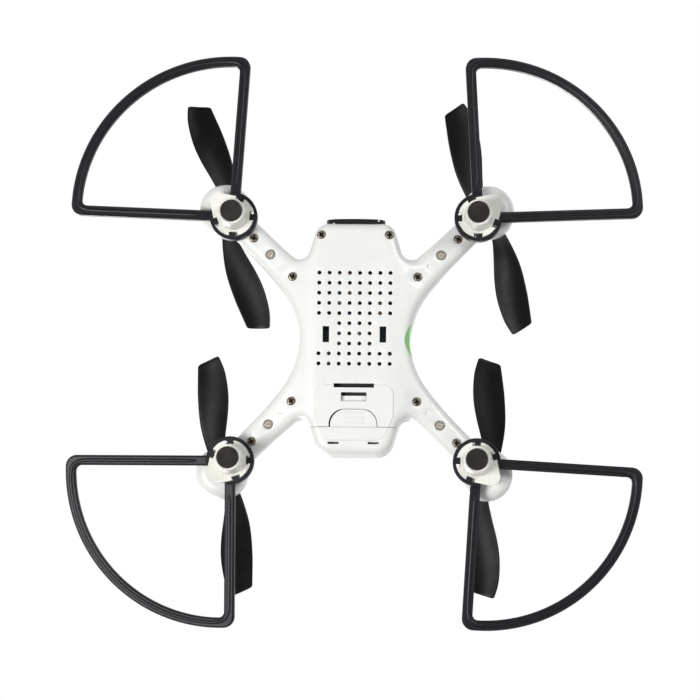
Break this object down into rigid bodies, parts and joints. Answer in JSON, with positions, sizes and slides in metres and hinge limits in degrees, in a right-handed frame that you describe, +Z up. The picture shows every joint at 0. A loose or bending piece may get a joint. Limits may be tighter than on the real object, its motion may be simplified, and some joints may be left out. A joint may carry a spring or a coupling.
{
  "type": "quadcopter drone",
  "caption": "Small quadcopter drone with geared motors, two-blade propellers, clip-on guards, legs with rubber feet, nose camera and a slide-out battery.",
  "frame": {"origin": "on the ground, midway between the four feet", "axes": "+Z up, +Y towards the nose, +X to the right seen from above"},
  "size_m": [0.2843, 0.285, 0.0608],
  "materials": {
    "shell_white": "satin moulded, off-white",
    "pod_cream": "satin moulded, cream white",
    "guard_black": "glossy moulded black",
    "blade_black": "satin moulded black",
    "visor_black": "high gloss black",
    "foot_rubber": "matt charcoal rubber",
    "screw_bronze": "dark bronze plating",
    "steel": "ground steel",
    "motor_can": "drawn steel can",
    "brass": "machined brass",
    "gear_nylon": "natural nylon",
    "lens_clear": "clear epoxy, slightly warm",
    "lens_green": "translucent green",
    "camera_glass": "coated lens glass",
    "camera_body": "matt black",
    "board_blue": "solder mask",
    "chip_black": "moulded packages",
    "wire": "silicone insulation",
    "bay_black": "fine matt",
    "cell_silver": "laminated pouch",
    "button_grey": "soft satin"
  },
  "bodies": {
    "airframe": {"upper_shell": "shell_white", "lower_shell": "shell_white", "nose_visor": "visor_black", "camera_module": "camera_body", "camera_lens": "camera_glass", "main_board": "board_blue", "board_parts": "chip_black", "radio_antenna": "wire", "motor_wires": "wire", "side_light_lens": "lens_green", "arm_light_lenses": "lens_clear", "prop_bearings": "steel", "case_screws": "screw_bronze", "battery_bay": "bay_black", "battery_socket": "bay_black", "leg_front_right": "pod_cream", "foot_pad_front_right": "foot_rubber", "motor_front_right": "motor_can", "guard_front_right": "guard_black", "leg_front_left": "pod_cream", "foot_pad_front_left": "foot_rubber", "motor_front_left": "motor_can", "guard_front_left": "guard_black", "leg_rear_left": "pod_cream", "foot_pad_rear_left": "foot_rubber", "motor_rear_left": "motor_can", "guard_rear_left": "guard_black", "leg_rear_right": "pod_cream", "foot_pad_rear_right": "foot_rubber", "motor_rear_right": "motor_can", "guard_rear_right": "guard_black"},
    "battery": {"battery_case": "bay_black", "battery_terminals": "brass", "battery_cell": "cell_silver", "battery_cap": "shell_white"},
    "latch": {"battery_latch": "shell_white"},
    "button": {"power_button": "button_grey"},
    "prop_front_right": {"propeller_front_right": "blade_black", "prop_gear_front_right": "gear_nylon", "prop_shaft_front_right": "steel", "prop_screw_front_right": "screw_bronze"},
    "pinion_front_right": {"motor_pinion_front_right": "brass"},
    "prop_front_left": {"propeller_front_left": "blade_black", "prop_gear_front_left": "gear_nylon", "prop_shaft_front_left": "steel", "prop_screw_front_left": "screw_bronze"},
    "pinion_front_left": {"motor_pinion_front_left": "brass"},
    "prop_rear_left": {"propeller_rear_left": "blade_black", "prop_gear_rear_left": "gear_nylon", "prop_shaft_rear_left": "steel", "prop_screw_rear_left": "screw_bronze"},
    "pinion_rear_left": {"motor_pinion_rear_left": "brass"},
    "prop_rear_right": {"propeller_rear_right": "blade_black", "prop_gear_rear_right": "gear_nylon", "prop_shaft_rear_right": "steel", "prop_screw_rear_right": "screw_bronze"},
    "pinion_rear_right": {"motor_pinion_rear_right": "brass"}
  },
  "joints": [
    {"name": "prop_spin_front_right", "type": "hinge", "parent": "airframe", "child": "prop_front_right", "pos_m": [0.0655, 0.0655, 0.0565], "axis": [0, 0, 1], "continuous": true},
    {"name": "pinion_spin_front_right", "type": "hinge", "parent": "airframe", "child": "pinion_front_right", "pos_m": [0.06051, 0.06051, 0.0425], "axis": [0, 0, 1], "continuous": true},
    {"name": "prop_spin_front_left", "type": "hinge", "parent": "airframe", "child": "prop_front_left", "pos_m": [-0.0655, 0.0655, 0.0565], "axis": [0, 0, 1], "continuous": true},
    {"name": "pinion_spin_front_left", "type": "hinge", "parent": "airframe", "child": "pinion_front_left", "pos_m": [-0.06051, 0.06051, 0.0425], "axis": [0, 0, 1], "continuous": true},
    {"name": "prop_spin_rear_left", "type": "hinge", "parent": "airframe", "child": "prop_rear_left", "pos_m": [-0.0655, -0.0655, 0.0565], "axis": [0, 0, 1], "continuous": true},
    {"name": "pinion_spin_rear_left", "type": "hinge", "parent": "airframe", "child": "pinion_rear_left", "pos_m": [-0.06051, -0.06051, 0.0425], "axis": [0, 0, 1], "continuous": true},
    {"name": "prop_spin_rear_right", "type": "hinge", "parent": "airframe", "child": "prop_rear_right", "pos_m": [0.0655, -0.0655, 0.0565], "axis": [0, 0, 1], "continuous": true},
    {"name": "pinion_spin_rear_right", "type": "hinge", "parent": "airframe", "child": "pinion_rear_right", "pos_m": [0.06051, -0.06051, 0.0425], "axis": [0, 0, 1], "continuous": true},
    {"name": "battery_slide", "type": "slide", "parent": "airframe", "child": "battery", "axis": [0, -1, 0], "range_m": [0, 0.045]},
    {"name": "latch_flex", "type": "hinge", "parent": "battery", "child": "latch", "pos_m": [0, -0.0439, 0.0185], "axis": [1, 0, 0], "range_deg": [0, 4.5], "stiffness_Nm_per_rad": 0.4},
    {"name": "button_press", "type": "slide", "parent": "airframe", "child": "button", "axis": [0, 0, -1], "range_m": [0, 0.0008], "stiffness_N_per_m": 600}
  ],
  "couplings": [
    {"joint": "pinion_spin_front_right", "follows": "prop_spin_front_right", "ratio": -4.2222},
    {"joint": "pinion_spin_front_left", "follows": "prop_spin_front_left", "ratio": -4.2222},
    {"joint": "pinion_spin_rear_left", "follows": "prop_spin_rear_left", "ratio": -4.2222},
    {"joint": "pinion_spin_rear_right", "follows": "prop_spin_rear_right", "ratio": -4.2222}
  ]
}
